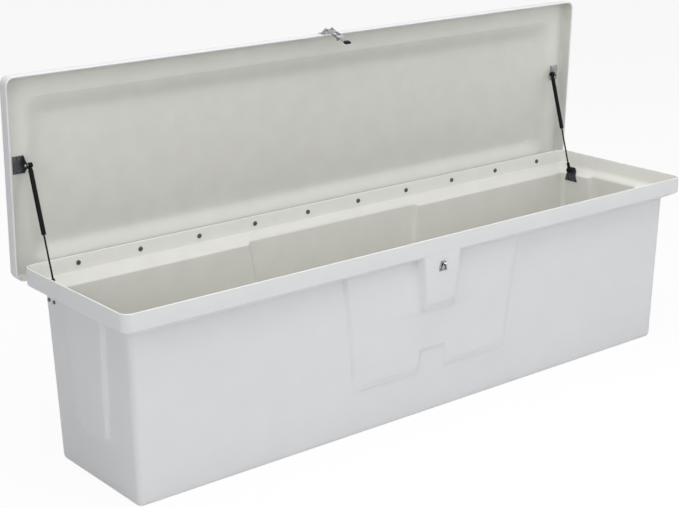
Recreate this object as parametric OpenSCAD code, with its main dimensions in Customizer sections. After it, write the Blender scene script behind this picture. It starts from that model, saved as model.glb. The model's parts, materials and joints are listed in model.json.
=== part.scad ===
// Dock box: a moulded tub with a hinged lid on gas struts and an over-centre latch.
// Millimetres, +Z up, front toward -Y, origin on the floor under the middle of the tub.
// The lid and all that rides on it are drawn closed and then turned open about the hinge pin.

/* [Tub] */
// Length of the rim, outside
rim_len = 2400; // [1800:10:2600]
// Width of the rim, outside
rim_wid = 612; // [560:2:700]
// Height of the rim
rim_z = 635; // [560:5:720]
// Length of the foot
foot_len = 2292; // [1700:2:2500]
// Width of the foot
foot_wid = 475; // [420:1:560]
// Thickness of the moulded skin
wall = 6; // [5:0.5:8]
// Height of the upright band below the rim
band_h = 54; // [48:1:70]
// Height of the flared shoulder below the band
shoulder_h = 32; // [26:1:44]
// How far the shoulder stands out at the ends
shoulder_end = 42; // [36:1:52]
// How far the shoulder stands out along the sides
shoulder_side = 48; // [40:1:60]
// Corner radius of the rim
rim_r = 34; // [28:1:50]
// Corner radius at the top of the walls
wall_r = 26; // [22:1:34]
// Corner radius at the foot
foot_r = 20; // [18:1:26]
// Round of the bottom edge
foot_edge = 10; // [6:1:11]

/* [Panels] */
// How far the panels stand out
panel_out = 15; // [12:0.5:20]
// Width of the panels' side slopes
panel_side = 14; // [10:1:18]
// Height of the panels' bottom slope
panel_foot = 26; // [16:1:34]
// Bottom of the panels
panel_z = 150; // [110:2:200]
// Corner radius of the panels
panel_r = 26; // [16:1:34]
// Half width of the long panels at the top
side_half_top = 386; // [300:2:480]
// Half width of the long panels at the bottom
side_half_bot = 338; // [260:2:440]
// Half width of the end panels at the top
end_half_top = 124; // [100:1:140]
// Half width of the end panels at the bottom
end_half_bot = 96; // [80:1:120]
// Half width of the front notch at its top
notch_top = 44; // [30:1:60]
// Half width of the front notch at its bottom
notch_bot = 64; // [50:1:80]
// Top of the front notch
notch_z = 227; // [200:1:260]
// Half width of the latch boss at the top
boss_top = 82; // [60:1:100]
// Half width of the latch boss at the bottom
boss_bot = 62; // [50:1:90]
// Bottom of the latch boss
boss_z = 404; // [380:2:450]
// Width of the boss's side slopes
boss_side = 10; // [6:1:16]
// Height of the boss's bottom slope
boss_foot = 32; // [20:1:44]
// How far the boss stands behind the band's face
boss_set = 0.8; // [0.5:0.1:2]

/* [Lid] */
// Angle of the lid when it is open
open_deg = 87.4; // [80:0.1:95]
// How far the lid reaches past the rim
lid_over = 18; // [16:0.5:22]
// Thickness of the lid's skin
lid_wall = 6; // [5:0.5:7]
// Height of the lid's skirt
skirt_h = 46; // [44:0.5:47]
// Corner radius of the skirt
lid_r = 30; // [26:1:50]
// Width of the flat margin at the front and the ends
margin = 62; // [60:1:80]
// Width of the flat margin at the hinge
margin_rear = 28; // [22:1:60]
// Width of the soft border up to the crown, at the front and the ends
border = 84; // [60:1:110]
// Width of the soft border at the hinge
border_rear = 58; // [44:1:80]
// Rise of the crown above the margin
crown_rise = 32; // [20:1:44]
// Round of the lid's outer edge
lid_edge = 11; // [8:0.5:14]
// Gap between the closed lid and the rim
lid_gap = 0.4; // [0.3:0.1:1]

/* [Hinge] */
// How far the pin is below the rim
pin_drop = 43; // [42:0.5:44]
// Radius of the pin
pin_r = 3; // [2.5:0.1:3.5]
// Clearance of the pin in its bores
bore_play = 0.05; // [0.03:0.01:0.1]
// Clearance of the barrel between band and skirt
hinge_play = 0.3; // [0.3:0.05:0.6]
// Thickness of the leaves
leaf_t = 2.3; // [2:0.1:2.5]
// Width of the leaves above the pin
leaf_w = 34; // [30:0.5:36]
// Pitch of the screws along the hinge
hinge_pitch = 228.6; // [150:0.1:240]
// Screws on the tub's side
hinge_screws = 10; // [7:1:10]
// How far the hinge sits off the middle
hinge_shift = 20; // [-30:1:30]
// Knuckles in one screw pitch
knuckles_per_pitch = 4; // [2:2:6]
// Gap between knuckles
knuckle_gap = 0.8; // [0.6:0.1:1.5]
// Height of the screws above the pin
screw_rise = 17; // [15:0.5:20]

/* [Struts] */
// How far the struts stand inside the end walls
strut_set = 9; // [8:0.5:12]
// Distance between the two balls along Y when the lid is closed
ball_span = 250; // [235:1:265]
// How far the lid's ball is below the margin
lid_ball_drop = 21; // [19:0.5:24]
// How far the tub's ball is in front of the rear wall's top
tub_ball_rear = 48; // [44:1:64]
// How far the tub's ball is above the wall's top
tub_ball_up = 25; // [24:0.5:28]
// Radius of the lid's ball
lid_ball_r = 5; // [4:0.25:6]
// Radius of the tub's ball
tub_ball_r = 4; // [3:0.25:4.5]
// Radius of the gas tube
tube_r = 7.5; // [6.5:0.25:9]
// Thickness of the tube's wall
tube_wall = 1; // [0.8:0.1:1.4]
// Length of the gas tube
tube_len = 194; // [170:1:198]
// Radius of the rod
rod_r = 3; // [2.5:0.1:4]
// Thickness of the brackets' sheet
sheet = 2.5; // [2:0.1:3.2]
// Side clearance between moving strut pieces
strut_play = 0.4; // [0.3:0.1:0.8]

/* [Latch] */
// Width of the latch's base
base_w = 40; // [36:1:50]
// Height of the latch's base
base_h = 29; // [25:1:30]
// How far the pivot stands off the skirt
pivot_off = 18; // [16:0.5:20]
// How far the pivot is below the skirt's edge
pivot_drop = 3.5; // [2:0.5:6]
// Angle of the hanging latch
droop = 16.5; // [14:0.5:17]
// Length of the bail between its pins
bail_len = 58; // [50:1:62]
// Length of the lever past its pin
lever_len = 54; // [52:1:56]
// Thickness of the lever
lever_t = 4; // [3:0.5:5]
// Radius of the latch's two pins
latch_pin_r = 2.5; // [2:0.1:3]
// Radius of the eyes around the pins
eye_r = 5.5; // [5:0.25:6]
// Side clearance between the latch's pieces
latch_play = 0.5; // [0.3:0.1:0.8]
// Width of the keeper's plate
keeper_w = 32; // [28:1:40]
// Height of the keeper's plate
keeper_h = 36; // [30:1:42]

/* [Hidden] */
$fn = 40;
// Points along each quarter of a moulded corner
seg = 9;
cut = 1;

// Tub, derived
wall_z = rim_z - band_h - shoulder_h;
top_len = rim_len - 2 * shoulder_end;
top_wid = rim_wid - 2 * shoulder_side;
in_lift = wall * (sqrt(shoulder_h * shoulder_h + shoulder_side * shoulder_side) - shoulder_h) / shoulder_side;
end_draft = atan((top_len - foot_len) / 2 / wall_z);
boss_y = rim_wid / 2 - boss_set;
// Shoulder curve: share of the reach, share of the rise
curve = [[0, 0], [0.02, 0.07], [0.075, 0.155], [0.2, 0.27], [0.5, 0.5],
    [0.8, 0.73], [0.925, 0.845], [0.98, 0.93], [1, 1]];
function wall_len(z) = foot_len + (top_len - foot_len) * z / wall_z;
function wall_wid(z) = foot_wid + (top_wid - foot_wid) * z / wall_z;
function corner(z) = foot_r + (wall_r - foot_r) * z / wall_z;
// Inner face of the right end wall, straight from its foot round to the shoulder
in_low = wall + foot_edge;
in_high = wall_z + in_lift;
function inner_x(z) = wall_len(in_low) / 2 - wall
    + (top_len - wall_len(in_low)) / 2 * (z - in_low) / (in_high - in_low);

// Lid, derived
margin_z = rim_z + lid_gap;
lid_len = rim_len + 2 * lid_over;
lid_wid = rim_wid + 2 * lid_over;
lid_top = margin_z + lid_wall;
free_z = lid_top - skirt_h;
// Rings along the soft border
border_steps = 8;

// Hinge, derived
pin_y = rim_wid / 2 + (lid_over - lid_wall) / 2;
pin_z = rim_z - pin_drop;
barrel_r = (lid_over - lid_wall) / 2 - hinge_play;
knuckle = hinge_pitch / knuckles_per_pitch;
knuckles = knuckles_per_pitch * (hinge_screws - 1) + 2;
hinge_len = knuckles * knuckle;
hinge_x0 = hinge_shift - hinge_len / 2;

// Struts, derived
strut_x = top_len / 2 - wall - strut_set;
foot_y = top_wid / 2 - tub_ball_rear;
ball_y = foot_y - ball_span;
ball_z = margin_z - lid_ball_drop;
foot_z = wall_z + tub_ball_up;
// The lid's ball when the lid is open
up_y = pin_y + (ball_y - pin_y) * cos(open_deg) + (ball_z - pin_z) * sin(open_deg);
up_z = pin_z - (ball_y - pin_y) * sin(open_deg) + (ball_z - pin_z) * cos(open_deg);
strut_len = norm([up_y - foot_y, up_z - foot_z]);
strut_deg = atan2(up_y - foot_y, up_z - foot_z);
strut_min = norm([ball_y - foot_y, ball_z - foot_z]);
tube_in = tube_r - tube_wall;
socket_r = 8;
socket_neck = 5.5;
tube_top = 24;
guide_len = 14;
tub_eye = 6.5;
flange_x = strut_x + lid_ball_r + 5;
tub_ball_x = strut_x + tub_eye + strut_play + tub_ball_r;
tab_x = tub_ball_x + tub_ball_r + 1;
lid_stud_r = 0.56 * lid_ball_r;
tub_stud_r = 0.6 * tub_ball_r;
plate_y = foot_y - 3;
plate_half = 25;
bolt_step = 16;
bolt_z = wall_z - 12;
bolt_r = 3;
bolt_grip = (wall_len(bolt_z) / 2 - inner_x(bolt_z) + sheet) * cos(end_draft);
foot_half = 28;
flange_r = 10;
foot_out = rim_len / 2 - wall - 4;

// Latch, derived, in the closed lid's place
piv_y = -(lid_wid / 2 + pivot_off);
piv_z = free_z - pivot_drop;
end_y = piv_y + bail_len * sin(droop);
end_z = piv_z - bail_len * cos(droop);
claw_r = 2.5;
keeper_t = 2;
hook_in = 2 * claw_r;
hook_y = -(boss_y + keeper_t + hook_in + 0.8);
hook_z = end_z + (hook_y - end_y) * tan(30) + 0.3;
ear_t = 2.5;
arm_t = 3;
lever_half = 9.5;
arm_in = lever_half + latch_play;
ear_in = arm_in + arm_t + latch_play;
grip_from = 38;
grip_t = 7;

// Which node to draw

// A round-cornered rectangle at one height, its middle set back along Y
function ring(l, w, r, z, back) = [for (c = [0:3]) for (k = [0:seg])
    let (a = 90 * c + 90 * k / seg,
         mx = (c == 0 || c == 3 ? 1 : -1) * (l / 2 - r),
         my = (c < 2 ? 1 : -1) * (w / 2 - r) + back)
    [mx + r * cos(a), my + r * sin(a), z]];

// A closed skin through rings of points, each ring counter-clockwise seen from the last ring's side
module skin(rings) {
    n = len(rings[0]);
    m = len(rings);
    pts = [for (q = rings) each q];
    sides = [for (i = [0:m - 2]) for (j = [0:n - 1]) let (k = (j + 1) % n)
        each [[i * n + j, (i + 1) * n + j, (i + 1) * n + k], [i * n + j, (i + 1) * n + k, i * n + k]]];
    first = [for (j = [0:n - 1]) j];
    last = [for (j = [n - 1:-1:0]) (m - 1) * n + j];
    polyhedron(points = pts, faces = concat([first], sides, [last]));
}
// A skin through round-cornered rectangles [length, width, radius, height, set back]
module loft(rings) {
    skin([for (q = rings) ring(q[0], q[1], q[2], q[3], len(q) > 4 ? q[4] : 0)]);
}
// Outline of an upright trapezium with round lower corners and sharp upper ones
function pull(a, b, d) = a + (b - a) / norm(b - a) * d;
function outline(hb, zb, ht, zt, r) = let (q = [[-hb, zb], [hb, zb], [ht, zt], [-ht, zt]])
    concat([for (i = [0:1]) let (c = q[i], p = pull(c, q[(i + 3) % 4], r), e = pull(c, q[i + 1], r))
        for (k = [0:3]) let (t = k / 3) p * (1 - t) * (1 - t) + c * 2 * t * (1 - t) + e * t * t], [q[2], q[3]]);
// Edge of a panel from its foot to its face: share of the slope, share of the rise
edge = [[0, 0], [0.25, 0.12], [0.5, 0.5], [0.75, 0.88], [1, 1]];

// A block between two four-cornered faces, base first, each lower left, lower right, upper right, upper left
module block(base, out) {
    polyhedron(points = concat(base, out), faces = [
        [0, 1, 2], [0, 2, 3], [4, 7, 6], [4, 6, 5],
        [1, 0, 4], [1, 4, 5], [3, 2, 6], [3, 6, 7],
        [0, 3, 7], [0, 7, 4], [1, 5, 6], [1, 6, 2]]);
}

tub_rings = concat(
    [for (a = [0:30:90]) let (e = foot_edge * (1 - sin(a)), z = foot_edge * (1 - cos(a)))
        [wall_len(z) - 2 * e, wall_wid(z) - 2 * e, corner(z) - e, z]],
    [for (s = curve) [top_len + 2 * shoulder_end * s[0], top_wid + 2 * shoulder_side * s[0],
        wall_r + (rim_r - wall_r) * s[0], wall_z + shoulder_h * s[1]]],
    [for (a = [0:45:180]) let (e = wall / 2 * (1 - cos(a)))
        [rim_len - 2 * e, rim_wid - 2 * e, rim_r - e, rim_z - wall / 2 + wall / 2 * sin(a)]],
    [for (i = [len(curve) - 1:-1:0]) let (s = curve[i])
        [top_len + 2 * shoulder_end * s[0] - 2 * wall, top_wid + 2 * shoulder_side * s[0] - 2 * wall,
        wall_r + (rim_r - wall_r) * s[0] - wall, wall_z + shoulder_h * s[1] + in_lift]],
    [for (a = [90:-30:0]) let (e = foot_edge * (1 - sin(a)), z = wall + foot_edge * (1 - cos(a)))
        [wall_len(z) - 2 * wall - 2 * e, wall_wid(z) - 2 * wall - 2 * e, corner(z) - wall - e, z]]);

// A point w outside the front wall or the right end wall
function skin_pt(e, u, z, w) = e ? [wall_len(z) / 2 + w, u, z] : [u, -(wall_wid(z) / 2 + w), z];
side_thick = 0.35 * wall;
// How far a panel's hollow runs up into the open room above the shoulder
hollow_lift = 2.4 * wall;
foot_thick = 0.35 * wall;
// One outline of a panel at depth w and share s of its slope, drawn in by d and raised by f,
// with its top hidden in the shoulder
function panel_ring(e, w, s, d, f, lift) = let (i = panel_side * s + d,
    ht = (e ? end_half_top : side_half_top) - i, hb = (e ? end_half_bot : side_half_bot) - i,
    zt = wall_z + w * shoulder_h / (e ? shoulder_end : shoulder_side) + lift)
    [for (p = outline(hb, panel_z + panel_foot * s + f, ht, zt, panel_r - 0.5 * d)) skin_pt(e, p[0], p[1], w)];
module panel_solid(e) {
    skin(concat([panel_ring(e, -wall / 2, 0, 0, 0, 3)],
        [for (q = edge) panel_ring(e, panel_out * q[1], q[0], 0, 0, 3)]));
}
module panel_hollow(e) {
    skin(concat([panel_ring(e, -wall - 2, 0, side_thick, foot_thick, hollow_lift)],
        [for (q = edge) panel_ring(e, panel_out * q[1] - wall, q[0], side_thick, foot_thick, hollow_lift)]));
}
function notch_ring(w, s, d) = let (i = panel_side * s + d)
    [for (p = outline(notch_bot + i, panel_z - 30, notch_top + i, notch_z + i, 2)) skin_pt(false, p[0], p[1], w)];
module front_notch(low, d) {
    skin(concat([notch_ring(low - 0.5, 0, d)],
        [for (q = edge) notch_ring(low + panel_out * q[1], q[0], d)], [notch_ring(low + panel_out + cut, 1, d)]));
}
// Outlines of the boss from the wall, share 0, to its face, share 1, drawn in by i
function boss_ring(s, i) = let (w = -wall / 2,
    foot = outline(boss_bot + boss_side, boss_z - boss_foot, boss_top + boss_side, wall_z + 1, 14),
    face = outline(boss_bot - i, boss_z + i, boss_top - i, rim_z - band_h + 2, 14))
    [for (j = [0:len(foot) - 1]) let (a = skin_pt(false, foot[j][0], foot[j][1], w),
        b = [face[j][0], -boss_y, face[j][1]]) a + (b - a) * s];
module boss_solid() {
    skin([boss_ring(0, 0), boss_ring(0.84, 0), boss_ring(0.93, 1), boss_ring(0.98, 2.6), boss_ring(1, 5)]);
}
module boss_hollow() {
    w = -wall - 2;
    y = boss_y - wall;
    block([skin_pt(false, -boss_bot - boss_side + wall, boss_z - boss_foot + 1.4 * wall, w),
        skin_pt(false, boss_bot + boss_side - wall, boss_z - boss_foot + 1.4 * wall, w),
        skin_pt(false, boss_top + boss_side - wall, wall_z + 16, w),
        skin_pt(false, -boss_top - boss_side + wall, wall_z + 16, w)],
        [[-boss_bot + wall, -y, boss_z + 1.4 * wall], [boss_bot - wall, -y, boss_z + 1.4 * wall],
        [boss_top - wall, -y, rim_z - band_h + 20], [-boss_top + wall, -y, rim_z - band_h + 20]]);
}

// Fasteners stand along +Z: head below zero, shank through the grip, nut past it
module fastener(head_r, head_h, shank_r, grip, nut_r, nut_h) {
    translate([0, 0, -head_h]) cylinder(r = head_r, h = head_h);
    translate([0, 0, -0.5]) cylinder(r = shank_r, h = grip + nut_h + 2.5);
    translate([0, 0, grip]) cylinder(r = nut_r, h = nut_h, $fn = 6);
}
module drill(r, grip) {
    translate([0, 0, -cut]) cylinder(r = r, h = grip + 2 * cut);
}

// Places of the fasteners
hinge_screw_r = 2.5;
module at_tub_hinge_screws() {
    for (i = [0:hinge_screws - 1])
        translate([hinge_shift + (i - (hinge_screws - 1) / 2) * hinge_pitch, rim_wid / 2 - wall,
            pin_z + screw_rise]) rotate([-90, 0, 0]) children();
}
module at_lid_hinge_screws() {
    for (i = [0:hinge_screws - 2])
        translate([hinge_shift + (i - (hinge_screws - 2) / 2) * hinge_pitch, lid_wid / 2,
            pin_z + screw_rise]) rotate([90, 0, 0]) children();
}
module at_tub_bracket_bolts() {
    for (s = [-1, 1])
        translate([wall_len(bolt_z) / 2, plate_y + s * bolt_step, bolt_z])
            rotate([0, -(90 - end_draft), 0]) children();
}
module at_lid_bracket_bolts() {
    for (s = [-1, 1])
        translate([(flange_x + sheet + foot_out) / 2, ball_y + s * 0.68 * foot_half, lid_top])
            rotate([180, 0, 0]) children();
}
base_screw_r = 2;
module at_base_screws() {
    for (s = [-1, 1]) for (t = [0.26, 0.74])
        translate([s * 0.17 * base_w, -(lid_wid / 2 + ear_t), free_z + 4 + t * base_h])
            rotate([-90, 0, 0]) children();
}
keeper_z = hook_z - 26;
module at_keeper_screws() {
    for (s = [-1, 1])
        translate([s * 0.3 * keeper_w, -(boss_y + keeper_t), keeper_z + 6]) rotate([-90, 0, 0]) children();
}

// Turns what is drawn closed to the open lid's place
module opened() {
    translate([0, pin_y, pin_z]) rotate([-open_deg, 0, 0]) translate([0, -pin_y, -pin_z]) children();
}
// Stands along the strut: the lid's ball at zero, the tub's ball at minus strut_len
module along_strut() {
    translate([strut_x, up_y, up_z]) rotate([-strut_deg, 0, 0]) children();
}
module lying() {
    rotate([0, 90, 0]) children();
}

module tub() {
    color("whitesmoke") difference() {
        union() {
            loft(tub_rings);
            difference() {
                panel_solid(false);
                front_notch(0, 0);
            }
            boss_solid();
            rotate([0, 0, 180]) panel_solid(false);
            panel_solid(true);
            rotate([0, 0, 180]) panel_solid(true);
        }
        difference() {
            panel_hollow(false);
            front_notch(-wall, side_thick);
        }
        boss_hollow();
        rotate([0, 0, 180]) panel_hollow(false);
        panel_hollow(true);
        rotate([0, 0, 180]) panel_hollow(true);
        at_tub_hinge_screws() drill(hinge_screw_r, wall);
        at_tub_bracket_bolts() drill(bolt_r, wall);
        mirror([1, 0, 0]) at_tub_bracket_bolts() drill(bolt_r, wall);
        at_keeper_screws() drill(base_screw_r, wall + keeper_t);
    }
}

// One ring of the lid, drawn in by e from the skirt's outer face, and by d less at the hinge
function lid_ring(e, z, r, d = 0) = [lid_len - 2 * e, lid_wid - 2 * e + d, r, z, d / 2];
base_r = 52;
crown_r = 24;
// A ring at share t of the soft border, h above its inner face
function border_ring(t, h) = let (tilt = atan(crown_rise * 6 * t * (1 - t) / border))
    lid_ring(lid_wall + margin + border * t - h * sin(tilt),
        margin_z + crown_rise * t * t * (3 - 2 * t) + h * cos(tilt),
        base_r + (crown_r - base_r) * t, margin - margin_rear + (border - border_rear) * t);
skirt_rings = [
    lid_ring(lid_wall + 5, margin_z, lid_r - lid_wall - 5),
    lid_ring(lid_wall + 1.46, margin_z - 1.46, lid_r - lid_wall - 1.46),
    lid_ring(lid_wall, margin_z - 5, lid_r - lid_wall),
    lid_ring(lid_wall, free_z + lid_wall / 2, lid_r - lid_wall),
    lid_ring(0.854 * lid_wall, free_z + 0.146 * lid_wall, lid_r - 0.854 * lid_wall),
    lid_ring(lid_wall / 2, free_z, lid_r - lid_wall / 2),
    lid_ring(0.146 * lid_wall, free_z + 0.146 * lid_wall, lid_r - 0.146 * lid_wall),
    lid_ring(0, free_z + lid_wall / 2, lid_r),
    lid_ring(0, lid_top - lid_edge, lid_r),
    lid_ring(0.134 * lid_edge, lid_top - 0.5 * lid_edge, lid_r - 0.134 * lid_edge),
    lid_ring(0.5 * lid_edge, lid_top - 0.134 * lid_edge, lid_r - 0.5 * lid_edge),
    lid_ring(lid_edge, lid_top, lid_r - lid_edge)];
lid_rings = concat(
    [for (k = [border_steps:-1:0]) border_ring(k / border_steps, 0)],
    skirt_rings,
    [for (k = [0:border_steps]) border_ring(k / border_steps, lid_wall)]);

module lid() {
    color("white") opened() difference() {
        loft(lid_rings);
        at_lid_hinge_screws() drill(hinge_screw_r, lid_wall);
        at_lid_bracket_bolts() drill(bolt_r, lid_wall);
        mirror([1, 0, 0]) at_lid_bracket_bolts() drill(bolt_r, lid_wall);
        at_base_screws() drill(base_screw_r, lid_wall + ear_t);
    }
}

// Hinge
module barrels(odd) {
    for (i = [odd:2:knuckles - 1])
        translate([hinge_x0 + i * knuckle + knuckle_gap / 2, pin_y, pin_z])
            lying() cylinder(r = barrel_r, h = knuckle - knuckle_gap);
}
module barrel_gaps(odd) {
    for (i = [odd:2:knuckles - 1])
        translate([hinge_x0 + i * knuckle - knuckle_gap / 2, pin_y - barrel_r - cut, pin_z - barrel_r - cut])
            cube([knuckle + knuckle_gap, 2 * barrel_r + 2 * cut, 2 * barrel_r + cut + knuckle_gap]);
}
module pin_bore() {
    translate([hinge_x0 - cut, pin_y, pin_z]) lying() cylinder(r = pin_r + bore_play, h = hinge_len + 2 * cut);
}
module hinge_tub_leaf() {
    color("lightgray") difference() {
        union() {
            difference() {
                translate([hinge_x0 + knuckle_gap / 2, rim_wid / 2, pin_z])
                    cube([hinge_len - knuckle_gap, leaf_t, leaf_w]);
                barrel_gaps(1);
            }
            barrels(0);
        }
        pin_bore();
        at_tub_hinge_screws() drill(hinge_screw_r, wall + leaf_t);
    }
}
module hinge_lid_leaf() {
    color("lightgray") opened() difference() {
        union() {
            difference() {
                translate([hinge_x0 + knuckle_gap / 2, lid_wid / 2 - lid_wall - leaf_t, pin_z])
                    cube([hinge_len - knuckle_gap, leaf_t, leaf_w]);
                barrel_gaps(0);
            }
            barrels(1);
        }
        pin_bore();
        at_lid_hinge_screws() drill(hinge_screw_r, lid_wall + leaf_t);
    }
}
module hinge_pin() {
    color("silver") translate([hinge_x0 - cut, pin_y, pin_z]) lying() cylinder(r = pin_r, h = hinge_len + 2 * cut);
}
module hinge_tub_screws() {
    color("silver") at_tub_hinge_screws() fastener(7, 3.2, hinge_screw_r, wall + leaf_t, 4.6, 3.4);
}
module hinge_lid_screws() {
    color("silver") at_lid_hinge_screws_open() fastener(7, 3.2, hinge_screw_r, lid_wall + leaf_t, 4.6, 3.4);
}
module at_lid_hinge_screws_open() {
    opened() at_lid_hinge_screws() children();
}

// Strut brackets and ball studs, drawn for the right end
module lid_bracket() {
    difference() {
        union() {
            translate([flange_x, ball_y - foot_half, margin_z - sheet])
                cube([foot_out - flange_x, 2 * foot_half, sheet]);
            slab(flange_x, flange_x + sheet) polygon([[ball_y - foot_half, margin_z], [ball_y - foot_half, margin_z - 6],
                [ball_y - flange_r, ball_z - 2], [ball_y + flange_r, ball_z - 2],
                [ball_y + foot_half, margin_z - 6], [ball_y + foot_half, margin_z]]);
            translate([flange_x, ball_y, ball_z - 2]) lying() cylinder(r = flange_r, h = sheet);
        }
        translate([flange_x - cut, ball_y, ball_z]) lying() cylinder(r = lid_stud_r, h = sheet + 2 * cut);
        at_lid_bracket_bolts() drill(bolt_r, lid_wall + sheet);
    }
}
module lid_ball() {
    translate([strut_x, ball_y, ball_z]) {
        lying() sphere(r = lid_ball_r);
        lying() cylinder(r = lid_stud_r, h = flange_x - strut_x + sheet + 5);
        translate([flange_x - strut_x - 2, 0, 0]) lying() cylinder(r = 5, h = 2);
        translate([flange_x - strut_x + sheet, 0, 0]) lying() cylinder(r = 5, h = 4, $fn = 6);
    }
}
module lid_bracket_bolts() {
    at_lid_bracket_bolts() fastener(6, 3, bolt_r, lid_wall + sheet, 5, 3);
}
plate_low = wall_z - 29;
bend_z = wall_z + in_lift + 0.5 * wall;
tab_z = bend_z + 13;
module tub_bracket() {
    difference() {
        translate([0, plate_y + plate_half, 0]) rotate([90, 0, 0]) linear_extrude(2 * plate_half)
            polygon([[inner_x(plate_low), plate_low], [inner_x(bend_z), bend_z],
                [tab_x + sheet, tab_z], [tab_x + sheet, foot_z + 9], [tab_x, foot_z + 9], [tab_x, tab_z + 1],
                [inner_x(bend_z) - sheet, bend_z + 1], [inner_x(plate_low) - sheet, plate_low]]);
        translate([tab_x - cut, foot_y, foot_z]) lying() cylinder(r = tub_stud_r, h = sheet + 2 * cut);
        at_tub_bracket_bolts() drill(bolt_r, bolt_grip);
    }
}
module tub_ball() {
    translate([tub_ball_x, foot_y, foot_z]) {
        lying() sphere(r = tub_ball_r);
        lying() cylinder(r = tub_stud_r, h = tab_x - tub_ball_x + sheet + 3);
        translate([tab_x - tub_ball_x + sheet, 0, 0]) lying() cylinder(r = 4.6, h = 2.5, $fn = 6);
    }
}
module tub_bracket_bolts() {
    at_tub_bracket_bolts() fastener(6, 3.5, bolt_r, bolt_grip, 5, 3);
}

// Gas strut, drawn for the right end
module strut_tube() {
    along_strut() translate([0, 0, -tube_top - tube_len]) difference() {
        cylinder(r = tube_r, h = tube_len);
        translate([0, 0, -cut]) cylinder(r = tube_in, h = tube_len - 3 + cut);
    }
}
module strut_guide() {
    along_strut() translate([0, 0, -tube_top - tube_len + 1]) difference() {
        cylinder(r = tube_in, h = guide_len);
        translate([0, 0, -cut]) cylinder(r = rod_r + bore_play, h = guide_len + 2 * cut);
    }
}
module lid_socket() {
    along_strut() difference() {
        union() {
            translate([-socket_r + 0.5, 0, 0]) lying() cylinder(r = socket_r, h = socket_r - 0.5 + 0.8 * lid_ball_r);
            translate([0, 0, -tube_top]) cylinder(r = socket_neck, h = tube_top - 3);
        }
        sphere(r = lid_ball_r + bore_play);
    }
}
rod_top = -tube_top - tube_len + guide_len + 17;
module strut_rod() {
    along_strut() translate([0, 0, -strut_len + 12]) cylinder(r = rod_r, h = strut_len - 12 + rod_top);
}
module strut_piston() {
    along_strut() translate([0, 0, rod_top - 10]) difference() {
        cylinder(r = tube_in - bore_play, h = 10);
        translate([0, 0, -cut]) cylinder(r = rod_r, h = 10 + 2 * cut);
    }
}
module tub_socket() {
    along_strut() translate([0, 0, -strut_len]) difference() {
        union() {
            translate([-tub_eye, 0, 0]) lying() cylinder(r = socket_r, h = 2 * tub_eye);
            cylinder(r = socket_neck, h = 30);
        }
        translate([0, 0, 12]) cylinder(r = rod_r, h = 30);
    }
}

module strut_lid_bracket_left() { color("dimgray") opened() mirror([1, 0, 0]) lid_bracket(); }
module strut_lid_bracket_right() { color("silver") opened() lid_bracket(); }
module strut_lid_ball_left() { color("silver") opened() mirror([1, 0, 0]) lid_ball(); }
module strut_lid_ball_right() { color("silver") opened() lid_ball(); }
module lid_bracket_bolts_left() { color("dimgray") opened() mirror([1, 0, 0]) lid_bracket_bolts(); }
module lid_bracket_bolts_right() { color("silver") opened() lid_bracket_bolts(); }
module strut_tub_bracket_left() { color("silver") mirror([1, 0, 0]) tub_bracket(); }
module strut_tub_bracket_right() { color("silver") tub_bracket(); }
module strut_tub_ball_left() { color("silver") mirror([1, 0, 0]) tub_ball(); }
module strut_tub_ball_right() { color("silver") tub_ball(); }
module tub_bracket_bolts_left() { color("dimgray") mirror([1, 0, 0]) tub_bracket_bolts(); }
module tub_bracket_bolts_right() { color("dimgray") tub_bracket_bolts(); }
module strut_tube_left() { color([0.1, 0.1, 0.1]) mirror([1, 0, 0]) strut_tube(); }
module strut_tube_right() { color([0.1, 0.1, 0.1]) strut_tube(); }
module strut_guide_left() { color([0.15, 0.15, 0.15]) mirror([1, 0, 0]) strut_guide(); }
module strut_guide_right() { color([0.15, 0.15, 0.15]) strut_guide(); }
module strut_lid_socket_left() { color([0.12, 0.12, 0.12]) mirror([1, 0, 0]) lid_socket(); }
module strut_lid_socket_right() { color([0.12, 0.12, 0.12]) lid_socket(); }
module strut_rod_left() { color([0.2, 0.2, 0.2]) mirror([1, 0, 0]) strut_rod(); }
module strut_rod_right() { color([0.2, 0.2, 0.2]) strut_rod(); }
module strut_piston_left() { color("silver") mirror([1, 0, 0]) strut_piston(); }
module strut_piston_right() { color("silver") strut_piston(); }
module strut_tub_socket_left() { color([0.12, 0.12, 0.12]) mirror([1, 0, 0]) tub_socket(); }
module strut_tub_socket_right() { color([0.12, 0.12, 0.12]) tub_socket(); }

// Latch: flat pieces are drawn as y and z outlines and thickened along X
module slab(x0, x1) {
    translate([x0, 0, 0]) rotate([90, 0, 90]) linear_extrude(x1 - x0) children();
}
module both(x0, x1) {
    slab(x0, x1) children();
    slab(-x1, -x0) children();
}
// A bar between two outline points
module bar(a, b, w) {
    d = b - a;
    translate(a) rotate([0, 0, atan2(d[1], d[0])]) translate([0, -w / 2]) square([norm(d), w]);
}
piv = [piv_y, piv_z];
far = [end_y, end_z];
way = [sin(droop), -cos(droop)];
tip = [hook_y, hook_z];
module latch_base() {
    color("gainsboro") opened() difference() {
        union() {
            translate([-base_w / 2, -(lid_wid / 2 + ear_t), free_z + 4]) cube([base_w, ear_t, base_h]);
            both(ear_in, ear_in + ear_t) union() {
                translate(piv) circle(r = eye_r);
                polygon([[-lid_wid / 2 - 1, free_z + 4], [-lid_wid / 2 - 1, free_z + base_h - 4],
                    [piv_y - 0.7 * eye_r, piv_z + 0.7 * eye_r], [piv_y + 0.7 * eye_r, piv_z - 0.7 * eye_r]]);
            }
        }
        at_base_screws() drill(base_screw_r, ear_t);
        slab(-base_w, base_w) translate(piv) circle(r = latch_pin_r);
    }
}
module latch_base_screws() {
    color("silver") opened() at_base_screws() fastener(3.4, 1.6, base_screw_r, lid_wall + ear_t, 3.6, 2.6);
}
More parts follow.
